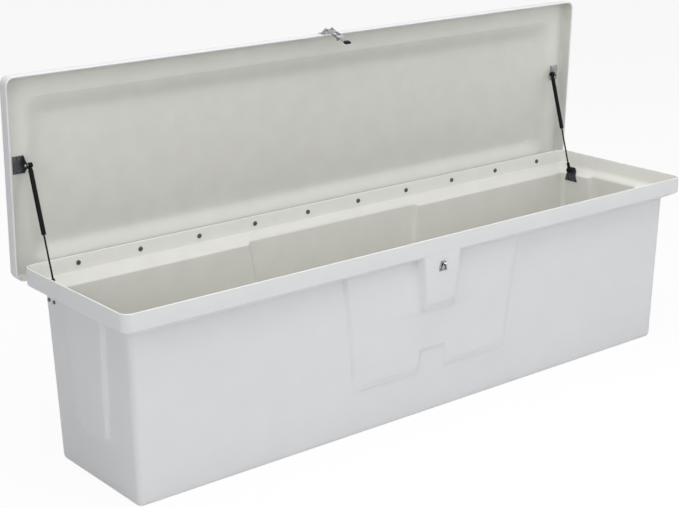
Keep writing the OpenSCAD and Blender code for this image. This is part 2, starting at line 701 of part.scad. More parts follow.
module bail_pin() {
    color("silver") opened() slab(-ear_in - ear_t - 1.5, ear_in + ear_t + 1.5) translate(piv) circle(r = latch_pin_r);
}
module latch_bail() {
    color("gainsboro") opened() difference() {
        union() {
            both(arm_in, arm_in + arm_t) union() {
                translate(piv) circle(r = eye_r);
                translate(far) circle(r = eye_r);
                bar(piv, far, 9);
            }
            slab(-arm_in - 1, arm_in + 1) bar(piv + 14 * way + [-3, 0], piv + 34 * way + [-3, 0], 2.5);
        }
        slab(-base_w, base_w) translate(piv) circle(r = latch_pin_r + bore_play);
        slab(-base_w, base_w) translate(far) circle(r = latch_pin_r);
    }
}
module lever_pin() {
    color("silver") opened() slab(-arm_in - arm_t - 1.2, arm_in + arm_t + 1.2) translate(far) circle(r = latch_pin_r);
}
module latch_lever() {
    color("gainsboro") opened() difference() {
        union() {
            slab(-lever_half, lever_half) union() {
                translate(far) circle(r = eye_r - 0.5);
                bar(far, far + (grip_from + 14) * way, lever_t);
            }
            slab(-5, 5) union() {
                bar(far, tip, 2 * claw_r);
                translate(tip) circle(r = claw_r);
            }
        }
        slab(-base_w, base_w) translate(far) circle(r = latch_pin_r + bore_play);
    }
}
module latch_grip() {
    color([0.1, 0.1, 0.1]) opened() difference() {
        slab(-lever_half - 1.5, lever_half + 1.5) union() {
            bar(far + grip_from * way, far + (lever_len - grip_t / 2) * way, grip_t);
            translate(far + (lever_len - grip_t / 2) * way) circle(r = grip_t / 2);
        }
        slab(-lever_half, lever_half) bar(far, far + (grip_from + 14) * way, lever_t);
    }
}
module keeper() {
    color("gainsboro") difference() {
        union() {
            translate([0, -boss_y, 0]) rotate([90, 0, 0]) linear_extrude(keeper_t)
                polygon([[-keeper_w / 2, keeper_z], [keeper_w / 2, keeper_z], [keeper_w / 2, keeper_z + 13],
                    [9, keeper_z + keeper_h - 2], [-9, keeper_z + keeper_h - 2], [-keeper_w / 2, keeper_z + 13]]);
            slab(-7, 7) difference() {
                union() {
                    translate(tip) circle(r = hook_in + 2.5);
                    translate([-boss_y - 4, hook_z]) square([4, hook_in + 2.5]);
                }
                translate(tip) circle(r = hook_in);
                translate([hook_y - 20, hook_z - 20]) square([40, 20]);
                translate([-boss_y, hook_z - 20]) square([20, 40]);
            }
        }
        at_keeper_screws() drill(base_screw_r, keeper_t);
    }
}
module keeper_screws() {
    color("silver") at_keeper_screws() fastener(3.4, 1.6, base_screw_r, wall + keeper_t, 3.6, 2.6);
}

tub();
lid();
hinge_tub_leaf();
hinge_lid_leaf();
hinge_pin();
hinge_tub_screws();
hinge_lid_screws();
strut_lid_bracket_left();
strut_lid_bracket_right();
strut_lid_ball_left();
strut_lid_ball_right();
lid_bracket_bolts_left();
lid_bracket_bolts_right();
strut_tub_bracket_left();
strut_tub_bracket_right();
strut_tub_ball_left();
strut_tub_ball_right();
tub_bracket_bolts_left();
tub_bracket_bolts_right();
strut_tube_left();
strut_tube_right();
strut_guide_left();
strut_guide_right();
strut_lid_socket_left();
strut_lid_socket_right();
strut_rod_left();
strut_rod_right();
strut_piston_left();
strut_piston_right();
strut_tub_socket_left();
strut_tub_socket_right();
latch_base();
latch_base_screws();
bail_pin();
latch_bail();
lever_pin();
latch_lever();
latch_grip();
keeper();
keeper_screws();
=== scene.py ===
# Dock box with its lid open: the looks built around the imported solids, in metres
import json
import math
import bmesh
import bpy
from mathutils import Matrix, Vector

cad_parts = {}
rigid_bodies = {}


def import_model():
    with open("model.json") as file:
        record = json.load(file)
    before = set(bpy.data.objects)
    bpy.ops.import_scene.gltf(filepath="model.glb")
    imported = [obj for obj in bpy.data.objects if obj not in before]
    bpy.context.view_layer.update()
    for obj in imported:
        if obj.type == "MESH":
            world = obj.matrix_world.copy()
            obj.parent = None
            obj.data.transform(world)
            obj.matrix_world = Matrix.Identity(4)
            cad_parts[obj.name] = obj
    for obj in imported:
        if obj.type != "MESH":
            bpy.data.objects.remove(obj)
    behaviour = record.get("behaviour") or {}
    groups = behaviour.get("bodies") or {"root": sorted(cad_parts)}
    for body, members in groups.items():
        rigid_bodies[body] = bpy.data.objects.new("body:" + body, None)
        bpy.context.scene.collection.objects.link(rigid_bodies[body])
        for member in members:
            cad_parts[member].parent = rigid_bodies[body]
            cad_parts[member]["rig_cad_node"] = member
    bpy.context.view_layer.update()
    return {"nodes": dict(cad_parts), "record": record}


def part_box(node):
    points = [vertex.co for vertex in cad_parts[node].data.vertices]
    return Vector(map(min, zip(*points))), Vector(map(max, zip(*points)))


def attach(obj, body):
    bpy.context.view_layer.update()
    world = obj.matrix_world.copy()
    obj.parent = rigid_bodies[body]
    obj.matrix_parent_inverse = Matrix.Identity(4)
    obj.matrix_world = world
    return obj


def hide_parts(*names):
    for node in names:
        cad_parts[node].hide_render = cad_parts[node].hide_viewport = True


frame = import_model()
nodes = frame["nodes"]
body_of_node = {n: body for body, names in frame["record"]["behaviour"]["bodies"].items() for n in names}
slot_of_node = {part["node"]: part["material_slot"] for part in frame["record"]["subparts"]}

# Sizes that the solids are built on
RIM_Z = 0.635
RIM_WIDTH = 0.612
BAND_Z = 0.581
SKIN = 0.006
LID_WIDTH = 0.648
LID_FREE_Z = 0.5954
PIN_Y = 0.312
PIN_Z = 0.592
OPEN = math.radians(87.4)
SCREW_Z = 0.609
SCREW_PITCH = 0.2286
HINGE_SHIFT = 0.02
TUB_SCREWS = 10
LID_SCREWS = 9
LEAF = 0.0023
STRUT_X = 1.143
LID_BALL = Vector((STRUT_X, 0.318407, 0.944653))
TUB_BALL = Vector((STRUT_X, 0.21, 0.574))
TUBE_RADIUS = 0.0075
TUBE_TOP = -0.024
TUBE_MOUTH = -0.218
KEEPER_SCREW_X = 0.0096
KEEPER_FACE_Y = -0.3072
BASE_SCREW_X = 0.0068
BASE_PLATE = 0.0025
BASE_FOOT_Z = LID_FREE_Z + 0.004
BASE_HEIGHT = 0.029

# What tells a moulding's inner skin from its outer one
TUB_BLOCK = (0.9, 0.12)
LID_BLOCK = (1.0, 0.1)
LIP = 0.0028
RIM_TOP = 0.003
FACES_UP = 0.3
FACES_IN = -0.15

# Cells, slivers and limits for softening the mouldings
CELL = 0.02
SLIVER = 0.0003
SLIVER_LOW_Z = 0.03
SLIVER_HIGH_Z = 0.59
SLIVER_REAR_Y = 0.3
FOOT_EDGE_Z = 0.004
SOFT_WALL_Z = 0.5
SHOULDER_Z = 0.54
END_X = 1.1
CORNER_Y = 0.2
STEP_Z = 0.64
STEP_END_X = 1.09
KEEPER_REACH = 0.03
KEEPER_FOOT_Z = 0.49
BOLTS_Y = 0.2
BOLTS_REACH = 0.05

# Angles in degrees past which an edge stays sharp
MOULDING_ANGLE = 50
HARDWARE_ANGLE = 32
SCREW_ANGLE = 34
TUBE_ANGLE = 40

# The camera's place and lens, and the point that the lamps look at
CAMERA_PLACE = (-3.1843, -3.8017, 2.02724)
PHOTO_WIDTH = 679
FOCAL_PIXELS = 1508.75
SENSOR_MM = 36.0
AIM = Vector((0, 0, 0.5))

# Turns a closed lid's part to its open place about the hinge pin
TO_OPEN = (Matrix.Translation((0, PIN_Y, PIN_Z)) @ Matrix.Rotation(-OPEN, 4, "X")
           @ Matrix.Translation((0, -PIN_Y, -PIN_Z)))


# Colour and nodes
def linear(code):
    """Linear colour of an sRGB hex value."""
    parts = [int(code[i:i + 2], 16) / 255 for i in (1, 3, 5)]
    return tuple(c / 12.92 if c <= 0.04045 else ((c + 0.055) / 1.055) ** 2.4 for c in parts) + (1.0,)


def add(tree, kind, settings, links):
    """Adds a node; settings go to its inputs or its properties, and links feed its inputs."""
    node = tree.nodes.new(kind)
    for key, value in settings.items():
        if isinstance(key, str) and hasattr(node, key):
            setattr(node, key, value)
        else:
            node.inputs[key].default_value = value
    for key, (source, output) in links.items():
        tree.links.new(source.outputs[output], node.inputs[key])
    return node


def new_material(name):
    """A node material that holds only Object coordinates."""
    material = bpy.data.materials.new(name)
    material.use_nodes = True
    material.node_tree.nodes.clear()
    tree = material.node_tree
    place = add(tree, "ShaderNodeTexCoord", {}, {})
    return material, tree, place


def show(tree, shader):
    """Adds the material's output and links a shader to it."""
    add(tree, "ShaderNodeOutputMaterial", {}, {"Surface": (shader, 0)})


# Gelcoat, polyester sprayed on a mould and dulled by use: half gloss, faintly wavy from the fibres
def sprayed_gelcoat():
    material, tree, place = new_material("gelcoat_sprayed_white")
    # Clouds of about 90 mm, a shade apart
    cloud = add(tree, "ShaderNodeTexNoise", {"Scale": 11.0, "Detail": 2.0}, {"Vector": (place, "Object")})
    tone = add(tree, "ShaderNodeMix", {"data_type": "RGBA", 6: linear("#D1D2D4"), 7: linear("#D6D7D9")},
               {0: (cloud, "Fac")})
    # Waves of about 35 mm from the fibre mat, and orange peel of about 4 mm
    mat_waves = add(tree, "ShaderNodeTexNoise", {"Scale": 28.0, "Detail": 1.0},
                    {"Vector": (place, "Object")})
    peel = add(tree, "ShaderNodeTexNoise", {"Scale": 250.0, "Detail": 1.0}, {"Vector": (place, "Object")})
    wavy = add(tree, "ShaderNodeBump", {"Strength": 0.12, "Distance": 0.0002},
               {"Height": (mat_waves, "Fac")})
    skin = add(tree, "ShaderNodeBump", {"Strength": 0.3, "Distance": 0.00006},
               {"Height": (peel, "Fac"), "Normal": (wavy, "Normal")})
    gloss = add(tree, "ShaderNodeMapRange", {"To Min": 0.36, "To Max": 0.46}, {"Value": (cloud, "Fac")})
    shader = add(tree, "ShaderNodeBsdfPrincipled", {"IOR": 1.5, "Specular IOR Level": 0.12},
                 {"Base Color": (tone, 2), "Roughness": (gloss, 0), "Normal": (skin, 0)})
    show(tree, shader)
    return material


# Flow coat, brushed by hand over the fibre inside: warm white, satin, with the mat's texture showing
def brushed_flow_coat(name, dark, light):
    material, tree, place = new_material(name)
    # Blotches of about 70 mm where the coat is thicker
    blotch = add(tree, "ShaderNodeTexNoise", {"Scale": 14.0, "Detail": 3.0}, {"Vector": (place, "Object")})
    tone = add(tree, "ShaderNodeMix", {"data_type": "RGBA", 6: linear(dark), 7: linear(light)},
               {0: (blotch, "Fac")})
    # Chopped strands of about 8 mm under the coat
    strands = add(tree, "ShaderNodeTexNoise", {"Scale": 120.0, "Detail": 2.0, "Distortion": 1.2},
                  {"Vector": (place, "Object")})
    relief = add(tree, "ShaderNodeBump", {"Strength": 0.35, "Distance": 0.00025},
                 {"Height": (strands, "Fac")})
    satin = add(tree, "ShaderNodeMapRange", {"To Min": 0.38, "To Max": 0.52}, {"Value": (blotch, "Fac")})
    shader = add(tree, "ShaderNodeBsdfPrincipled", {"IOR": 1.5, "Specular IOR Level": 0.2},
                 {"Base Color": (tone, 2), "Roughness": (satin, 0), "Normal": (relief, 0)})
    show(tree, shader)
    return material


# Stainless sheet, rolled and brushed along its length: grey with long fine streaks
def brushed_stainless():
    material, tree, place = new_material("stainless_brushed")
    # Streaks 1 mm apart, drawn coarser than the real 0.1 mm so that they show
    along = add(tree, "ShaderNodeMapping", {"Scale": (8.0, 1000.0, 1000.0)}, {"Vector": (place, "Object")})
    streaks = add(tree, "ShaderNodeTexNoise", {"Scale": 1.0, "Detail": 2.0}, {"Vector": (along, 0)})
    tone = add(tree, "ShaderNodeMix", {"data_type": "RGBA", 6: linear("#A9AAAC"), 7: linear("#C6C7C9")},
               {0: (streaks, "Fac")})
    rough = add(tree, "ShaderNodeMapRange", {"To Min": 0.24, "To Max": 0.4}, {"Value": (streaks, "Fac")})
    relief = add(tree, "ShaderNodeBump", {"Strength": 0.2, "Distance": 0.00003},
                 {"Height": (streaks, "Fac")})
    shader = add(tree, "ShaderNodeBsdfPrincipled", {"Metallic": 1.0},
                 {"Base Color": (tone, 2), "Roughness": (rough, 0), "Normal": (relief, 0)})
    show(tree, shader)
    return material


# Zinc plate on pressed steel: dull grey with small cloudy patches
def dull_zinc(name, dark, light):
    material, tree, place = new_material(name)
    # Patches of about 5 mm
    patch = add(tree, "ShaderNodeTexVoronoi", {"Scale": 200.0}, {"Vector": (place, "Object")})
    haze = add(tree, "ShaderNodeTexNoise", {"Scale": 90.0, "Detail": 3.0}, {"Vector": (place, "Object")})
    both = add(tree, "ShaderNodeMath", {"operation": "MULTIPLY"},
               {0: (patch, "Distance"), 1: (haze, "Fac")})
    spread = add(tree, "ShaderNodeMapRange", {"From Max": 0.5}, {"Value": (both, 0)})
    tone = add(tree, "ShaderNodeMix", {"data_type": "RGBA", 6: linear(dark), 7: linear(light)},
               {0: (spread, 0)})
    rough = add(tree, "ShaderNodeMapRange", {"To Min": 0.32, "To Max": 0.5}, {"Value": (haze, "Fac")})
    shader = add(tree, "ShaderNodeBsdfPrincipled", {"Metallic": 0.9},
                 {"Base Color": (tone, 2), "Roughness": (rough, 0)})
    show(tree, shader)
    return material


# Baked enamel on the gas tube: black, half gloss, with a fine orange peel
def black_enamel():
    material, tree, place = new_material("enamel_black_baked")
    # Peel of about 2 mm
    peel = add(tree, "ShaderNodeTexNoise", {"Scale": 500.0, "Detail": 1.0}, {"Vector": (place, "Object")})
    rub = add(tree, "ShaderNodeTexNoise", {"Scale": 60.0, "Detail": 4.0}, {"Vector": (place, "Object")})
    tone = add(tree, "ShaderNodeMix", {"data_type": "RGBA", 6: linear("#08080A"), 7: linear("#101113")},
               {0: (rub, "Fac")})
    relief = add(tree, "ShaderNodeBump", {"Strength": 0.25, "Distance": 0.00004},
                 {"Height": (peel, "Fac")})
    rough = add(tree, "ShaderNodeMapRange", {"To Min": 0.34, "To Max": 0.5}, {"Value": (rub, "Fac")})
    shader = add(tree, "ShaderNodeBsdfPrincipled", {"IOR": 1.5, "Specular IOR Level": 0.08},
                 {"Base Color": (tone, 2), "Roughness": (rough, 0), "Normal": (relief, 0)})
    show(tree, shader)
    return material


# Nitrided steel rod, ground and polished: near black metal with fine rings
def nitrided_rod():
    material, tree, place = new_material("steel_nitrided_ground")
    # Grinding rings 1.5 mm apart along the rod, drawn coarser than the real ones so that they show
    rings = add(tree, "ShaderNodeTexWave", {"bands_direction": "Z", "Scale": 105.0, "Distortion": 1.0},
                {"Vector": (place, "Object")})
    tone = add(tree, "ShaderNodeMix", {"data_type": "RGBA", 6: linear("#0C0C0E"), 7: linear("#161719")},
               {0: (rings, "Fac")})
    rough = add(tree, "ShaderNodeMapRange", {"To Min": 0.2, "To Max": 0.3}, {"Value": (rings, "Fac")})
    shader = add(tree, "ShaderNodeBsdfPrincipled", {"IOR": 1.5, "Specular IOR Level": 0.12},
                 {"Base Color": (tone, 2), "Roughness": (rough, 0)})
    show(tree, shader)
    return material


# Glass-filled nylon and dipped vinyl: black, matt, with a fine moulded grain
def black_grain(name, dark, light, grain_mm, rough_low, rough_high):
    material, tree, place = new_material(name)
    grain = add(tree, "ShaderNodeTexNoise", {"Scale": 1000.0 / grain_mm, "Detail": 2.0},
                {"Vector": (place, "Object")})
    tone = add(tree, "ShaderNodeMix", {"data_type": "RGBA", 6: linear(dark), 7: linear(light)},
               {0: (grain, "Fac")})
    relief = add(tree, "ShaderNodeBump", {"Strength": 0.4, "Distance": 0.00008},
                 {"Height": (grain, "Fac")})
    rough = add(tree, "ShaderNodeMapRange", {"To Min": rough_low, "To Max": rough_high},
                {"Value": (grain, "Fac")})
    shader = add(tree, "ShaderNodeBsdfPrincipled", {"IOR": 1.53, "Specular IOR Level": 0.08},
                 {"Base Color": (tone, 2), "Roughness": (rough, 0), "Normal": (relief, 0)})
    show(tree, shader)
    return material


# Chrome plate, polished, with faint handling smudges; its colour is kept darker than chrome's to paint the
# dark surroundings it reflects
def polished_chrome():
    material, tree, place = new_material("chrome_plate_painted_dark_reflection")
    # Smudges of about 9 mm
    smudge = add(tree, "ShaderNodeTexNoise", {"Scale": 110.0, "Detail": 3.0}, {"Vector": (place, "Object")})
    tone = add(tree, "ShaderNodeMix", {"data_type": "RGBA", 6: linear("#8E9092"), 7: linear("#B2B4B6")},
               {0: (smudge, "Fac")})
    rough = add(tree, "ShaderNodeMapRange", {"To Min": 0.1, "To Max": 0.24}, {"Value": (smudge, "Fac")})
    shader = add(tree, "ShaderNodeBsdfPrincipled", {"Metallic": 1.0},
                 {"Base Color": (tone, 2), "Roughness": (rough, 0)})
    show(tree, shader)
    return material


gelcoat = sprayed_gelcoat()
flow_coat = brushed_flow_coat("flow_coat_brushed_warm_white", "#CCCCC6", "#D5D5D0")
# A lighter flow coat on the band's inside and the rim's top: painted light, for the light that falls there
rim_painted_light_coat = brushed_flow_coat("flow_coat_painted_rim_light", "#DEDED9", "#E6E6E2")
# Dark grey on the screw heads: a painted dark reflection, for the dark surroundings that the polished heads
# mirror
screw_steel_painted_dark = dull_zinc("stainless_screw_painted_dark_reflection", "#4E5053", "#6C6E71")
finishes = {
    "stainless": brushed_stainless(),
    "zinc_plate": dull_zinc("zinc_plate_dull", "#8E9092", "#B4B6B8"),
    # Darker zinc for the brackets: painted shade, for the shadow on their flanges
    "dark_bracket": dull_zinc("zinc_plate_painted_shade", "#3B3D40", "#5E6063"),
    # Darker steel on the bolt heads: painted shade and a painted dark reflection of their surroundings
    "dark_bolts": dull_zinc("bolt_steel_painted_dark", "#46484B", "#6B6D70"),
    "black_paint": black_enamel(),
    "black_rod": nitrided_rod(),
    "black_plastic": black_grain("nylon_glass_filled_black", "#09090A", "#111112",
                                 grain_mm=0.9, rough_low=0.5, rough_high=0.65),
    "latch_chrome": polished_chrome(),
    "grip_plastic": black_grain("vinyl_dipped_black", "#080809", "#0F0F10",
                                grain_mm=1.2, rough_low=0.45, rough_high=0.6),
}


# Modelling steps
def let_go():
    """Deselects everything, because an operator acts on all that is selected."""
    bpy.ops.object.select_all(action="DESELECT")


def hold(piece):
    """Makes one piece the only selected and active one."""
    let_go()
    piece.select_set(True)
    bpy.context.view_layer.objects.active = piece


def pick(piece, kind, test):
    """In edit mode, selects only the faces, edges or corners that pass a test."""
    mode = {"faces": "FACE", "edges": "EDGE", "verts": "VERT"}[kind]
    bpy.ops.mesh.select_mode(type=mode)
    bpy.ops.mesh.select_all(action="DESELECT")
    mesh = bmesh.from_edit_mesh(piece.data)
    mesh.normal_update()
    for item in getattr(mesh, kind):
        item.select_set(bool(test(item)))
    mesh.select_flush_mode()
    bmesh.update_edit_mesh(piece.data)


def apply_modifier(piece, kind, settings):
    """Adds a modifier, sets it and applies it."""
    hold(piece)
    bpy.ops.object.modifier_add(type=kind)
    modifier = piece.modifiers[-1]
    for key, value in settings.items():
        setattr(modifier, key, value)
    bpy.ops.object.modifier_apply(modifier=modifier.name)


def smooth(piece, degrees):
    """Smooth shading up to an angle, with the normals led by the large faces."""
    hold(piece)
    bpy.ops.object.shade_smooth_by_angle(angle=math.radians(degrees))
    apply_modifier(piece, "WEIGHTED_NORMAL", {"keep_sharp": True, "weight": 60})


def copy_of(node, name):
    """A copy of a CAD node with its loose triangles merged and its flat faces made whole."""
    hold(nodes[node])
    bpy.ops.object.duplicate()
    piece = bpy.context.object
    piece.name = name
    piece.parent = None
    del piece["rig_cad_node"]
    piece.data.materials.clear()
    bpy.ops.object.mode_set(mode="EDIT")
    bpy.ops.mesh.select_all(action="SELECT")
    bpy.ops.mesh.remove_doubles(threshold=0.00001)
    bpy.ops.mesh.dissolve_limited(angle_limit=math.radians(0.3))
    bpy.ops.object.mode_set(mode="OBJECT")
    return piece


def stand_in(piece, node, finish):
    """Lets a finished piece ride where its node does, in that node's place and finish."""
    if finish is not None:
        piece.data.materials.append(finish)
    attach(piece, body_of_node[node])
    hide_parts(node)


def put(piece, matrix):
    """Moves a piece to its place and applies it, so that the place is in its mesh."""
    hold(piece)
    piece.matrix_world = matrix @ piece.matrix_world
    bpy.ops.object.transform_apply(location=True, rotation=True, scale=True)


# Mouldings: gelcoat outside, flow coat inside, and a lighter coat at the tub's rim that paints the light
# falling on the band's inside and the rim's top
def out_from(place, half_x, half_y):
    """Level direction from the inner block of a box shape to a place outside it."""
    near = Vector((max(-half_x, min(half_x, place.x)), max(-half_y, min(half_y, place.y))))
    return (Vector((place.x, place.y)) - near).normalized()


def inside_tub(face):
    """Whether a face of the tub is on its inner skin."""
    place = face.calc_center_median()
    if place.z > RIM_Z - LIP:
        return False
    level = Vector((face.normal.x, face.normal.y))
    return face.normal.z > FACES_UP or level.dot(out_from(place, *TUB_BLOCK)) < FACES_IN


def inside_lid(face):
    """Whether a face of the open lid is on its inner skin."""
    place = TO_OPEN.inverted() @ face.calc_center_median()
    normal = TO_OPEN.inverted().to_3x3() @ face.normal
    if place.z < LID_FREE_Z + LIP:
        return False
    level = Vector((normal.x, normal.y))
    return normal.z < -FACES_UP or level.dot(out_from(place, *LID_BLOCK)) < FACES_IN


def rim_of_tub(face):
    """Whether a face is on the inside of the tub's band or on top of its rim."""
    height = face.calc_center_median().z
    on_top = face.normal.z > 0.9 and height > RIM_Z - RIM_TOP
    return on_top or (inside_tub(face) and height > BAND_Z)


def cut_cells(piece):
    """Cuts long faces into cells, so that creases can be softened, and merges slivers on the tub's walls."""
    corners = [vertex.co for vertex in piece.data.vertices]
    bpy.ops.object.mode_set(mode="EDIT")
    for axis in range(3):
        way = Vector((0, 0, 0))
        way[axis] = 1.0
        low = min(corner[axis] for corner in corners)
        high = max(corner[axis] for corner in corners)
        count = math.ceil((high - low) / CELL)
        for i in range(1, count):
            bpy.ops.mesh.select_all(action="SELECT")
            bpy.ops.mesh.bisect(plane_co=way * (low + (high - low) * i / count), plane_no=way)
    pick(piece, "verts",
         lambda vertex: SLIVER_LOW_Z < vertex.co.z < SLIVER_HIGH_Z and vertex.co.y < SLIVER_REAR_Y)
    bpy.ops.mesh.remove_doubles(threshold=SLIVER)
    bpy.ops.object.mode_set(mode="OBJECT")


def soften(piece, soft, axes, rounds):
    """Rounds creases along the named axes by how soft each place is, as resin and a worn mould do."""
    group = piece.vertex_groups.new(name="soft")
    for vertex in piece.data.vertices:
        group.add([vertex.index], soft(vertex.co), "REPLACE")
    apply_modifier(piece, "SMOOTH", {"factor": 0.5, "iterations": rounds, "vertex_group": "soft",
                                     "use_x": "x" in axes, "use_y": "y" in axes, "use_z": "z" in axes})
    piece.vertex_groups.clear()


def soft_height(place):
    """How soft the tub is at a height: fully on the walls, less towards the shoulder, not above it."""
    if place.z < FOOT_EDGE_Z or place.z > SHOULDER_Z:
        return 0.0
    return 1.0 if place.z < SOFT_WALL_Z else 0.4


def near_keeper(place):
    """Whether a place on the front is at the keeper's screws, which keep their seat."""
    return abs(place.x) < KEEPER_REACH and place.y < -CORNER_Y and place.z > KEEPER_FOOT_Z


def near_bolts(place):
    """Whether a place is at the strut bolts of an end, which keep their seat."""
    return abs(place.y - BOLTS_Y) < BOLTS_REACH and place.z > SOFT_WALL_Z


def soft_long_walls(place):
    """How soft the front and the back are, apart from their ends."""
    return 0.0 if near_keeper(place) or abs(place.x) > END_X else soft_height(place)


def soft_ends(place):
    """How soft the flat of an end is."""
    kept = near_bolts(place) or abs(place.x) < END_X or abs(place.y) > CORNER_Y
    return 0.0 if kept else soft_height(place)


def soft_corners(place):
    """How soft the tub is round its corners."""
    kept = near_bolts(place) or abs(place.x) < END_X or abs(place.y) < CORNER_Y
    return 0.0 if kept else soft_height(place)


def soft_lid(place):
    """How soft the open lid is: fully on its step and crown, not on its skirt or its ends."""
    closed = TO_OPEN.inverted() @ place
    return 1.0 if closed.z > STEP_Z and abs(closed.x) < STEP_END_X else 0.0


def moulding(node, name, creases, coats):
    """A softened copy of a moulding, with each coat on the faces that pass its test."""
    piece = copy_of(node, name)
    cut_cells(piece)
    for soft, axes, rounds in creases:
        soften(piece, soft, axes, rounds)
    bpy.ops.object.mode_set(mode="EDIT")
    for number, (coat, test) in enumerate(coats):
        piece.data.materials.append(coat)
        pick(piece, "faces", test)
        piece.active_material_index = number
        bpy.ops.object.material_slot_assign()
    bpy.ops.object.mode_set(mode="OBJECT")
    smooth(piece, MOULDING_ANGLE)
    stand_in(piece, node, None)


def everywhere(face):
    """A test that every face passes."""
    return True


moulding("tub", "tub_moulding",
         [(soft_long_walls, "y", 180), (soft_ends, "x", 60), (soft_corners, "xy", 16)],
         [(gelcoat, everywhere), (flow_coat, inside_tub), (rim_painted_light_coat, rim_of_tub)])
moulding("lid", "lid_moulding", [(soft_lid, "xyz", 16)], [(gelcoat, everywhere), (flow_coat, inside_lid)])


# Hardware that keeps its solid's shape, with its edges broken
def rounded(node, width_mm, segments, finish=None, shape=None):
    """A copy of a node with its edges bevelled, shaped first where a shaping step is given."""
    piece = copy_of(node, node + "_rounded")
    if shape is not None:
        bpy.ops.object.mode_set(mode="EDIT")
        shape(piece)
        bpy.ops.object.mode_set(mode="OBJECT")
    apply_modifier(piece, "BEVEL", {"width": width_mm / 1000, "segments": segments, "limit_method": "ANGLE",
                                    "angle_limit": math.radians(HARDWARE_ANGLE), "use_clamp_overlap": True})
    smooth(piece, HARDWARE_ANGLE)
    stand_in(piece, node, finish or finishes[slot_of_node[node]])


def taper_plate(piece):
    """Tapers a tub bracket from a wide foot to a narrow tab, band by band up its height."""
    bands = ((0.0, 0.525, 1.24), (0.525, 0.562, 0.92), (0.562, 0.58, 0.73), (0.58, 1.0, 0.52))
    for low, high, share in bands:
        pick(piece, "verts", lambda v: low <= v.co.z < high)
        bpy.ops.transform.resize(value=(1.0, share, 1.0), center_override=(0.0, TUB_BALL.y - 0.002, 0.0))
    pick(piece, "verts", lambda v: v.co.z < 0.525)
    bpy.ops.transform.translate(value=(0.0, 0.0, 0.009))


def widen_neck(piece):
    """Widens the neck of a lid socket to the tube's width, ring by ring along the strut."""
    way = (TUB_BALL - LID_BALL).normalized()
    for low, high, share in ((0.008, 0.02, 1.3), (0.02, 0.05, 1.5)):
        pick(piece, "verts", lambda v: low <= (v.co - LID_BALL).dot(way) < high)
        ring = [v.co for v in bmesh.from_edit_mesh(piece.data).verts if v.select]
        if ring:
            place = sum(ring, Vector()) / len(ring)
            bpy.ops.transform.resize(value=(share, share, 1.0), center_override=place)


def widen_eye(piece):
    """Widens the round eye of a tub socket about its ball."""
    pick(piece, "verts", lambda v: v.co.z < TUB_BALL.z + 0.01)
    bpy.ops.transform.resize(value=(1.0, 1.35, 1.25), center_override=(0.0, TUB_BALL.y, TUB_BALL.z))


for leaf in ("hinge_tub_leaf", "hinge_lid_leaf"):
    rounded(leaf, 0.4, 2)
rounded("hinge_pin", 0.8, 3)
for side in ("left", "right"):
    rounded("strut_lid_bracket_" + side, 0.5, 2)
    rounded("strut_tub_bracket_" + side, 0.5, 2, finishes["dark_bracket"], taper_plate)
    rounded("strut_lid_ball_" + side, 0.3, 2)
    rounded("strut_tub_ball_" + side, 0.3, 2)
    rounded("lid_bracket_bolts_" + side, 0.6, 3)
    rounded("tub_bracket_bolts_" + side, 1.2, 3)
    rounded("strut_lid_socket_" + side, 0.9, 3, None, widen_neck)
    rounded("strut_tub_socket_" + side, 0.9, 3, None, widen_eye)
    rounded("strut_guide_" + side, 0.3, 2)
    rounded("strut_rod_" + side, 0.4, 2)
    rounded("strut_piston_" + side, 0.4, 2)
for latch_piece in ("latch_base", "latch_bail", "latch_lever", "keeper"):
    rounded(latch_piece, 0.6, 3)
for pin in ("bail_pin", "lever_pin"):
    rounded(pin, 0.9, 3)
rounded("latch_grip", 1.2, 3)


